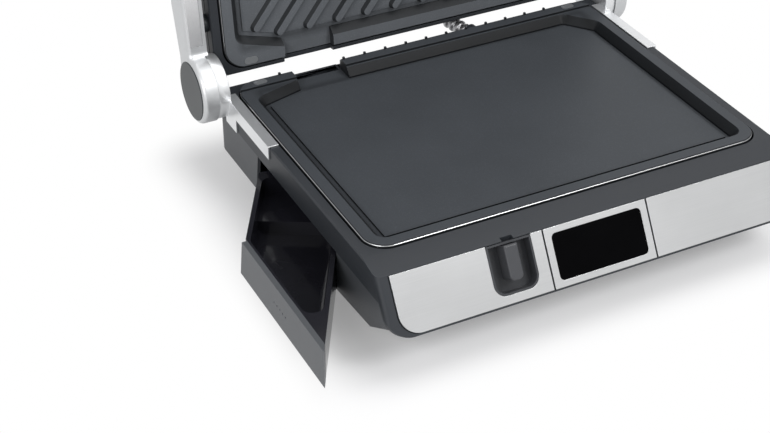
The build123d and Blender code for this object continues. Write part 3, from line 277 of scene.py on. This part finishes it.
def make_plate_edge():
    """Mask of the thin bare edge round a plate, whose outline is a rounded rectangle."""
    tree, given, result = start_group(
        "plate edge",
        [("Vector", VECTOR, None), ("Height", FLOAT, RIM_HEIGHT)],
        [("Edge", FLOAT), ("Inset", FLOAT)],
    )
    split = put(tree, "ShaderNodeSeparateXYZ", {0: given["Vector"]})
    beyond = []
    for axis, half in (("X", PLATE_HALF_X), ("Y", PLATE_HALF_Y)):
        size = calc(tree, "ABSOLUTE", split.outputs[axis])
        beyond.append(calc(tree, "SUBTRACT", size, half - PLATE_CORNER))
    outside = [calc(tree, "MAXIMUM", value, 0.0) for value in beyond]
    squares = [calc(tree, "MULTIPLY", value, value) for value in outside]
    reach = calc(tree, "SQRT", calc(tree, "ADD", squares[0], squares[1]))
    inside = calc(tree, "MINIMUM", calc(tree, "MAXIMUM", beyond[0], beyond[1]), 0.0)
    depth = calc(tree, "ADD", reach, inside)
    inset = calc(tree, "SUBTRACT", PLATE_CORNER, depth)
    tree.links.new(inset, result["Inset"])
    near = calc(tree, "LESS_THAN", inset, EDGE_WIDTH)
    rise = calc(tree, "ABSOLUTE", calc(tree, "SUBTRACT", split.outputs["Z"], given["Height"]))
    level = calc(tree, "LESS_THAN", rise, EDGE_HEIGHT)
    tree.links.new(calc(tree, "MULTIPLY", near, level), result["Edge"])
    return tree


def make_edge_highlight():
    """Broken mask of the outer edges, where a painted highlight makes them lighter."""
    tree, given, result = start_group(
        "painted edge highlight",
        [("Vector", VECTOR, None), ("Radius", FLOAT, 0.8 * MM), ("Amount", FLOAT, 0.5)],
        [("Mask", FLOAT)],
    )
    rounded = put(tree, "ShaderNodeBevel", {"Radius": given["Radius"]}, samples=4)
    plain = tree.nodes.new("ShaderNodeNewGeometry")
    turn = put(
        tree,
        "ShaderNodeVectorMath",
        {0: rounded.outputs["Normal"], 1: plain.outputs["Normal"]},
        operation="DOT_PRODUCT",
    )
    edge = remap(tree, turn.outputs["Value"], 0.99, 0.82, 0.0, 1.0)
    patches = put(
        tree, "ShaderNodeTexNoise", {"Vector": given["Vector"], "Scale": 220.0, "Detail": 3.0}
    )
    broken = remap(tree, patches.outputs["Fac"], 0.35, 0.6, 0.35, 1.0)
    mask = calc(tree, "MULTIPLY", calc(tree, "MULTIPLY", edge, broken), given["Amount"])
    tree.links.new(mask, result["Mask"])
    return tree


surface_variation = make_surface_variation()
moulded_grain = make_moulded_grain()
brushed_streaks = make_brushed_streaks()
plate_edge = make_plate_edge()
edge_highlight = make_edge_highlight()


def use(tree, group, inputs):
    """A shader group placed in a material."""
    return put(tree, "ShaderNodeGroup", inputs, node_tree=group)


def start_material(name, **sockets):
    """A material with its shader's constants set, its tree, shader and object coordinates."""
    material = bpy.data.materials.new(name)
    material.use_nodes = True
    tree = material.node_tree
    shader = tree.nodes["Principled BSDF"]
    for socket, value in sockets.items():
        shader.inputs[socket.replace("_", " ")].default_value = value
    place = tree.nodes.new("ShaderNodeTexCoord").outputs["Object"]
    return material, tree, shader, place


def paint_edge_highlight(tree, place, color, amount):
    """A colour with a painted highlight that makes the edges lighter."""
    painted_edge_highlight = use(tree, edge_highlight, {"Vector": place, "Radius": 0.7 * MM, "Amount": amount})
    light = remap(tree, painted_edge_highlight.outputs["Mask"], 0.0, 1.0, 1.0, EDGE_HIGHLIGHT_LIFT)
    return put(tree, "ShaderNodeHueSaturation", {"Color": color, "Value": light}).outputs[0]


def vary(tree, shader, place, color, roughness, spread, size, painted_edge_highlight=0.5):
    """Colour and roughness that drift over the surface, with a painted highlight that lightens the edges."""
    inputs = {"Vector": place, "Color": (*color, 1.0), "Roughness": roughness}
    inputs.update({"Spread": spread, "Size": size})
    drift = use(tree, surface_variation, inputs)
    highlighted = paint_edge_highlight(tree, place, drift.outputs["Color"], painted_edge_highlight)
    tree.links.new(highlighted, shader.inputs["Base Color"])
    tree.links.new(drift.outputs["Roughness"], shader.inputs["Roughness"])
    return drift


def emboss(tree, shader, height, depth, strength):
    """A bump of some depth in metres."""
    bump = put(tree, "ShaderNodeBump", {"Height": height, "Distance": depth, "Strength": strength})
    tree.links.new(bump.outputs["Normal"], shader.inputs["Normal"])


def plastic(name, color, roughness, grain=0.7 * MM, depth=0.03 * MM, strength=0.5, spread=0.05):
    """Moulded plastic with a fine grain."""
    material, tree, shader, place = start_material(name, Specular_IOR_Level=0.3)
    vary(tree, shader, place, color, roughness, spread, 45 * MM)
    pebbles = use(tree, moulded_grain, {"Vector": place, "Size": grain, "Softness": 0.6})
    emboss(tree, shader, pebbles.outputs["Height"], depth, strength)
    return material


def brushed(name, color, roughness, length, width, turn=(0.0, 0.0, 0.0), contrast=0.12):
    """Brushed metal, whose streaks run along X before the turn."""
    material, tree, shader, place = start_material(name, Metallic=1.0)
    turned = put(tree, "ShaderNodeMapping", {"Vector": place, "Rotation": turn}).outputs[0]
    hair = use(tree, brushed_streaks, {"Vector": turned, "Length": length, "Width": width})
    streaks = hair.outputs["Streaks"]
    drift = use(
        tree,
        surface_variation,
        {"Vector": place, "Color": (*color, 1.0), "Roughness": roughness, "Spread": 0.03,
         "Size": 60 * MM},
    )
    shade = remap(tree, streaks, 0.3, 0.7, 1.0 - contrast, 1.0 + contrast)
    tinted = put(
        tree, "ShaderNodeHueSaturation", {"Color": drift.outputs["Color"], "Value": shade}
    )
    tree.links.new(tinted.outputs["Color"], shader.inputs["Base Color"])
    rough = calc(tree, "MULTIPLY", drift.outputs["Roughness"], shade)
    tree.links.new(rough, shader.inputs["Roughness"])
    emboss(tree, shader, streaks, 0.01 * MM, 0.25)
    return material


def satin_metal(name, color, roughness, metallic=1.0, grain=0.35 * MM):
    """Blasted or painted metal with an even satin surface."""
    material, tree, shader, place = start_material(name, Metallic=metallic)
    vary(tree, shader, place, color, roughness, 0.04, 50 * MM, 0.2)
    pebbles = use(tree, moulded_grain, {"Vector": place, "Size": grain, "Softness": 0.8})
    emboss(tree, shader, pebbles.outputs["Height"], 0.01 * MM, 0.35)
    return material


def closed_place(tree, place):
    """Coordinates of a piece of the lid as it lies when the lid is closed."""
    from_hinge = put(
        tree, "ShaderNodeVectorMath", {0: place, 1: tuple(HINGE)}, operation="SUBTRACT"
    )
    turned = put(
        tree,
        "ShaderNodeVectorRotate",
        {"Vector": from_hinge.outputs[0], "Angle": OPEN_ANGLE},
        rotation_type="X_AXIS",
    )
    back = put(
        tree, "ShaderNodeVectorMath", {0: turned.outputs[0], 1: tuple(HINGE)}, operation="ADD"
    )
    return back.outputs[0]


def nonstick(name, color, edge_height, lid_side):
    """Dark non-stick coating on cast aluminium, with a machined edge left bare, painted shade on its sloped faces
    and in a band at the foot of the basin wall, and a painted highlight on its edges.
    """
    material, tree, shader, place = start_material(name, Specular_IOR_Level=0.12)
    where = closed_place(tree, place) if lid_side else place
    outline = use(tree, plate_edge, {"Vector": where, "Height": edge_height}).outputs
    edge = outline["Edge"]
    drift = use(
        tree,
        surface_variation,
        {"Vector": place, "Color": (*color, 1.0), "Roughness": 0.42, "Spread": 0.06,
         "Size": 70 * MM},
    )
    flecks = put(
        tree, "ShaderNodeTexNoise", {"Vector": place, "Scale": 1600.0, "Detail": 1.0}
    )
    speck = remap(tree, flecks.outputs["Fac"], 0.55, 0.75, 1.0, 1.35)
    facing = tree.nodes.new("ShaderNodeTexCoord").outputs["Normal"]
    if lid_side:
        facing = put(
            tree,
            "ShaderNodeVectorRotate",
            {"Vector": facing, "Angle": OPEN_ANGLE},
            rotation_type="X_AXIS",
        ).outputs[0]
    # Painted shade: sloped faces such as the basin walls and the sides of the ribs are darkened, and so is a soft
    # band at the foot of the basin wall; the light flecks are the coating's own
    level = calc(tree, "ABSOLUTE", put(tree, "ShaderNodeSeparateXYZ", {0: facing}).outputs["Z"])
    painted_slope_shade = remap(tree, level, 0.66, 0.99, 0.25, 1.0)
    off_wall = calc(tree, "ABSOLUTE", calc(tree, "SUBTRACT", outline["Inset"], PAINTED_SHADE_INSET))
    painted_crease_shade = remap(tree, off_wall, 0.0, 6 * MM, 0.62, 1.0)
    flecks_and_painted_shade = calc(tree, "MULTIPLY", calc(tree, "MULTIPLY", speck, painted_slope_shade), painted_crease_shade)
    coating = put(tree, "ShaderNodeHueSaturation", {"Color": drift.outputs["Color"], "Value": flecks_and_painted_shade})
    # The coating also gets the painted highlight that lightens its edges
    mixed = put(
        tree,
        "ShaderNodeMix",
        {"Factor": edge, "A": paint_edge_highlight(tree, place, coating.outputs["Color"], 0.8), "B": BARE_METAL},
        data_type="RGBA",
    )
    tree.links.new(mixed.outputs["Result"], shader.inputs["Base Color"])
    tree.links.new(edge, shader.inputs["Metallic"])
    rough = put(
        tree, "ShaderNodeMix", {"Factor": edge, "A": drift.outputs["Roughness"], "B": 0.3}
    )
    tree.links.new(rough.outputs["Result"], shader.inputs["Roughness"])
    pebbles = use(tree, moulded_grain, {"Vector": place, "Size": 0.6 * MM, "Softness": 0.8})
    emboss(tree, shader, pebbles.outputs["Height"], 0.02 * MM, 0.35)
    return material


def circuit_board():
    """Green board with fine copper tracks."""
    material, tree, shader, place = start_material("board_green", Coat_Weight=0.4)
    tracks = put(
        tree, "ShaderNodeTexBrick", {"Vector": place, "Scale": 180.0, "Mortar Size": 0.03}
    )
    tracks.inputs["Color1"].default_value = (0.02, 0.09, 0.04, 1.0)
    tracks.inputs["Color2"].default_value = (0.03, 0.12, 0.05, 1.0)
    tracks.inputs["Mortar"].default_value = (0.08, 0.22, 0.08, 1.0)
    tree.links.new(tracks.outputs["Color"], shader.inputs["Base Color"])
    rough = remap(tree, tracks.outputs["Fac"], 0.0, 1.0, 0.5, 0.35)
    tree.links.new(rough, shader.inputs["Roughness"])
    return material


def display_glass():
    """Smoked glass over a dark display."""
    material, tree, shader, place = start_material("display_glass", Specular_IOR_Level=0.02)
    vary(tree, shader, place, (0.0015, 0.0015, 0.0018), 0.12, 0.15, 20 * MM)
    return material


def glossy_tray(name, color, roughness):
    """Polished dark plastic of the tray."""
    material, tree, shader, place = start_material(
        name, Specular_IOR_Level=0.18, Coat_Weight=0.12, Coat_Roughness=0.08
    )
    vary(tree, shader, place, color, roughness, 0.12, 30 * MM)
    pebbles = use(tree, moulded_grain, {"Vector": place, "Size": 2.5 * MM, "Softness": 1.0})
    emboss(tree, shader, pebbles.outputs["Height"], 0.02 * MM, 0.15)
    return material


materials = {
    "black_plastic": plastic("moulded_black", (0.024, 0.027, 0.032), 0.5),
    "body_plastic": plastic("moulded_body", (0.055, 0.059, 0.065), 0.46, 1.0 * MM, 0.04 * MM),
    "pocket_plastic": plastic("pocket_plastic", (0.040, 0.042, 0.047), 0.42),
    "lever_plastic": plastic("lever_plastic", (0.060, 0.062, 0.068), 0.33, 0.5 * MM, 0.01 * MM),
    "cap_plastic": plastic("cap_plastic", (0.022, 0.027, 0.030), 0.38, 0.5 * MM, 0.01 * MM),
    "fascia_plastic": plastic("fascia_plastic", (0.068, 0.073, 0.080), 0.42, 0.5 * MM),
    "tray_plastic": glossy_tray("tray_gloss", (0.012, 0.012, 0.016), 0.16),
    "foot_rubber": plastic("foot_rubber", (0.018, 0.018, 0.018), 0.85, 0.9 * MM, 0.05 * MM, 0.8),
    "brushed_panel": brushed(
        "brushed_panel", (0.50, 0.505, 0.51), 0.34, 60 * MM, 0.18 * MM, contrast=0.05
    ),
    "cover_steel": brushed("brushed_cover", (0.62, 0.62, 0.63), 0.36, 120 * MM, 0.4 * MM),
    "trim_steel": brushed(
        "brushed_trim", (0.93, 0.93, 0.94), 0.3, 60 * MM, 0.3 * MM, STREAKS_UP_ARM, 0.05
    ),
    "arm_metal": satin_metal("arm_silver", (0.56, 0.57, 0.58), 0.42, 0.75),
    "bracket_steel": satin_metal("bracket_silver", (0.72, 0.73, 0.74), 0.36, 0.85),
    "tab_steel": satin_metal("tab_grey", (0.26, 0.27, 0.28), 0.4, 0.6),
    "galvanised_sheet": satin_metal("galvanised", (0.55, 0.56, 0.58), 0.42, 1.0, 6 * MM),
    "element_sheath": satin_metal("element_sheath", (0.20, 0.19, 0.18), 0.5, 0.9),
    "conduit_steel": satin_metal("conduit_metal", (0.42, 0.42, 0.43), 0.42, 0.9, 0.8 * MM),
    "circuit_board": circuit_board(),
    "display_black": display_glass(),
    "lower_coating": nonstick("lower_coating", (0.050, 0.055, 0.062), RIM_HEIGHT, False),
    # The upper plate has the lower plate's coating, painted lighter to stand for the stronger light that falls on
    # it
    "upper_coating_painted_lighter": nonstick(
        "upper_coating_painted_lighter", (0.110, 0.118, 0.129), RIM_HEIGHT + PLATE_GAP, True
    ),
}

# Finish of each node, where it isn't the one of its slot
finish_of = {
    "base_body": "body_plastic",
    "lever_pocket": "pocket_plastic",
    "tray_fascia": "fascia_plastic",
    "lower_plate": "lower_coating",
    "upper_plate": "upper_coating_painted_lighter",
    "lid_pivot_left": "cap_plastic",
    "lid_pivot_right": "cap_plastic",
}


def paint(piece, finish):
    """Gives a piece one material."""
    piece.data.materials.clear()
    piece.data.materials.append(materials[finish])


def round_edges(piece, width):
    """Welds a CAD mesh and rounds its sharp edges a little."""
    weld = piece.modifiers.new("weld", "WELD")
    weld.merge_threshold = WELD_REACH
    flat = piece.modifiers.new("flat_faces", "DECIMATE")
    flat.decimate_type = "DISSOLVE"
    flat.angle_limit = FLAT_ANGLE
    bevel = piece.modifiers.new("edges", "BEVEL")
    bevel.width = width
    bevel.segments = BEVEL_STEPS
    bevel.limit_method = "ANGLE"
    bevel.angle_limit = BEVEL_ANGLE
    bevel.profile = 0.5
    bevel.harden_normals = True


for name, node in nodes.items():
    paint(node, finish_of.get(name, slot_of[name]))

edge_radii = {
    "base_frame": 0.5 * MM,
    "base_body": 0.7 * MM,
    "tray_fascia": 0.4 * MM,
    "front_panel_left": 0.25 * MM,
    "front_panel_center": 0.25 * MM,
    "front_panel_right": 0.25 * MM,
    "display_window": 0.3 * MM,
    "drain_chute": 0.3 * MM,
    "lid_frame": 0.4 * MM,
    "hinge_bracket_left": 0.4 * MM,
    "hinge_bracket_right": 0.4 * MM,
    "arm_trim_left": 0.25 * MM,
    "arm_trim_right": 0.25 * MM,
    "lower_plate": 0.9 * MM,
    "upper_plate": 0.6 * MM,
}
# Nodes that get a new piece below, which is rounded there
dressed_anew = {"front_panel_left", "front_panel_right", "base_frame", "base_body"}
for name, width in edge_radii.items():
    if name not in dressed_anew:
        round_edges(nodes[name], width)


def link_mesh(name, shape, finish):
    """Makes an object of a bmesh, with its finish."""
    mesh = bpy.data.meshes.new(name)
    shape.to_mesh(mesh)
    shape.free()
    piece = bpy.data.objects.new(name, mesh)
    bpy.context.scene.collection.objects.link(piece)
    paint(piece, finish)
    return piece


def flatten(shape):
    """Joins the triangles of each flat face, and marks the sharp edges."""
    bmesh.ops.dissolve_limit(
        shape, angle_limit=FLAT_ANGLE, verts=shape.verts, edges=shape.edges
    )
    bmesh.ops.recalc_face_normals(shape, faces=shape.faces)
    for face in shape.faces:
        face.smooth = True
    for edge in shape.edges:
        edge.smooth = edge.is_manifold and edge.calc_face_angle(0.0) < SMOOTH_ANGLE


def merged_copy(name):
    """The mesh of a CAD node with its loose triangles joined."""
    shape = bmesh.new()
    shape.from_mesh(nodes[name].data)
    bmesh.ops.remove_doubles(shape, verts=shape.verts, dist=WELD_REACH)
    return shape


def widen_panels():
    """The outer panels and their recess, carried out nearly to the sides of the grill."""
    def at_end(place):
        return abs(place.x) > PANEL_END - PANEL_ARC

    def in_recess(place):
        return (
            PANEL_END - PANEL_ARC < abs(place.x) < PANEL_END + RECESS_SLACK
            and RECESS_FOOT < place.z < RECESS_TOP
            and place.y < RECESS_FRONT
        )

    for name, picked, shift in (
        ("front_panel_left", at_end, PANEL_SHIFT),
        ("front_panel_right", at_end, PANEL_SHIFT),
        ("base_frame", in_recess, RECESS_SHIFT),
    ):
        shape = merged_copy(name)
        for vert in shape.verts:
            if picked(vert.co):
                vert.co.x += copysign(shift, vert.co.x)
        flatten(shape)
        finish = finish_of.get(name, slot_of[name])
        piece = link_mesh(name + "_dressed", shape, finish)
        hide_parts(name)
        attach(piece, "base")
        round_edges(piece, edge_radii[name])


def draw_in_corners():
    """The lower housing, whose front corners turn in below the panels."""
    shape = merged_copy("base_body")
    for vert in shape.verts:
        low = min(max((CORNER_TOP - vert.co.z) / CORNER_FADE, 0.0), 1.0)
        out = min(max((abs(vert.co.x) - CORNER_INNER) / CORNER_SPAN, 0.0), 1.0)
        if vert.co.y < CORNER_FRONT:
            vert.co.y += CORNER_BACK * low * out
            vert.co.z += CORNER_LIFT * low * out
    flatten(shape)
    piece = link_mesh("base_body_dressed", shape, "body_plastic")
    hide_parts("base_body")
    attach(piece, "base")
    round_edges(piece, edge_radii["base_body"])


def bend_conduit():
    """The ribbed conduit, as a smooth-shaded copy of its CAD node."""
    shape = merged_copy("wiring_conduit")
    for face in shape.faces:
        face.smooth = True
    conduit = link_mesh("conduit_ribs", shape, "conduit_steel")
    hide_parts("wiring_conduit")
    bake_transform(conduit)


widen_panels()
draw_in_corners()
bend_conduit()

# Floor and light


def lay_floor():
    """A white floor that fades into the background away from the grill."""
    shape = bmesh.new()
    bmesh.ops.create_grid(shape, x_segments=1, y_segments=1, size=FLOOR_SIZE)
    mesh = bpy.data.meshes.new("floor")
    shape.to_mesh(mesh)
    shape.free()
    floor = bpy.data.objects.new("floor", mesh)
    bpy.context.scene.collection.objects.link(floor)
    material = bpy.data.materials.new("floor_white")
    material.use_nodes = True
    tree = material.node_tree
    shader = tree.nodes["Principled BSDF"]
    shader.inputs["Base Color"].default_value = FLOOR_WHITE
    shader.inputs["Roughness"].default_value = 1.0
    shader.inputs["Specular IOR Level"].default_value = 0.0
    place = tree.nodes.new("ShaderNodeTexCoord").outputs["Object"]
    split = put(tree, "ShaderNodeSeparateXYZ", {0: place})
    away = []
    for axis, half in (("X", SHADOW_HALF_X), ("Y", SHADOW_HALF_Y)):
        size = calc(tree, "ABSOLUTE", split.outputs[axis])
        away.append(calc(tree, "MAXIMUM", calc(tree, "SUBTRACT", size, half), 0.0))
    squares = [calc(tree, "MULTIPLY", value, value) for value in away]
    reach = calc(tree, "SQRT", calc(tree, "ADD", squares[0], squares[1]))
    fade = put(
        tree,
        "ShaderNodeMapRange",
        {"Value": reach, "From Min": 0.0, "From Max": SHADOW_FADE, "To Min": SHADOW_GLOW},
        interpolation_type="SMOOTHSTEP",
    ).outputs["Result"]
    path = tree.nodes.new("ShaderNodeLightPath")
    seen = calc(tree, "MAXIMUM", path.outputs["Is Camera Ray"], path.outputs["Is Glossy Ray"])
    glow = put(tree, "ShaderNodeEmission", {"Color": (1.0, 1.0, 1.0, 1.0), "Strength": 1.0})
    mix = put(
        tree,
        "ShaderNodeMixShader",
        {0: calc(tree, "MULTIPLY", fade, seen), 1: shader.outputs[0], 2: glow.outputs[0]},
    )
    output = tree.nodes["Material Output"]
    tree.links.new(mix.outputs[0], output.inputs["Surface"])
    floor.data.materials.append(material)


def light_room():
    """A bright tent of light, seen as white, with lamps above, in front and at the left."""
    world = bpy.data.worlds.new("light_tent")
    bpy.context.scene.world = world
    world.use_nodes = True
    tree = world.node_tree
    background = tree.nodes["Background"]
    background.inputs["Color"].default_value = (1.0, 1.0, 1.0, 1.0)
    path = tree.nodes.new("ShaderNodeLightPath")
    seen = calc(tree, "MAXIMUM", path.outputs["Is Camera Ray"], path.outputs["Is Glossy Ray"])
    seen = calc(tree, "MAXIMUM", seen, path.outputs["Is Transmission Ray"])
    strength = remap(tree, seen, 0.0, 1.0, TENT_LIGHT, TENT_SEEN)
    tree.links.new(strength, background.inputs["Strength"])
    for name, place, size, power in (
        ("overhead_light", (0.3, 0.1, 1.5), 1.2, 9.0),
        ("key_light", (0.55, -1.15, 1.25), 0.5, 10.0),
        ("side_light", (-1.3, -0.9, 0.9), 1.0, 14.0),
    ):
        data = bpy.data.lights.new(name, "AREA")
        data.size = size
        data.energy = power
        light = bpy.data.objects.new(name, data)
        aim = LAMP_AIM - Vector(place)
        light.rotation_euler = aim.to_track_quat("-Z", "Y").to_euler()
        light.location = place
        bpy.context.scene.collection.objects.link(light)


set_camera()
lay_floor()
light_room()
bpy.context.scene.view_settings.view_transform = "Standard"
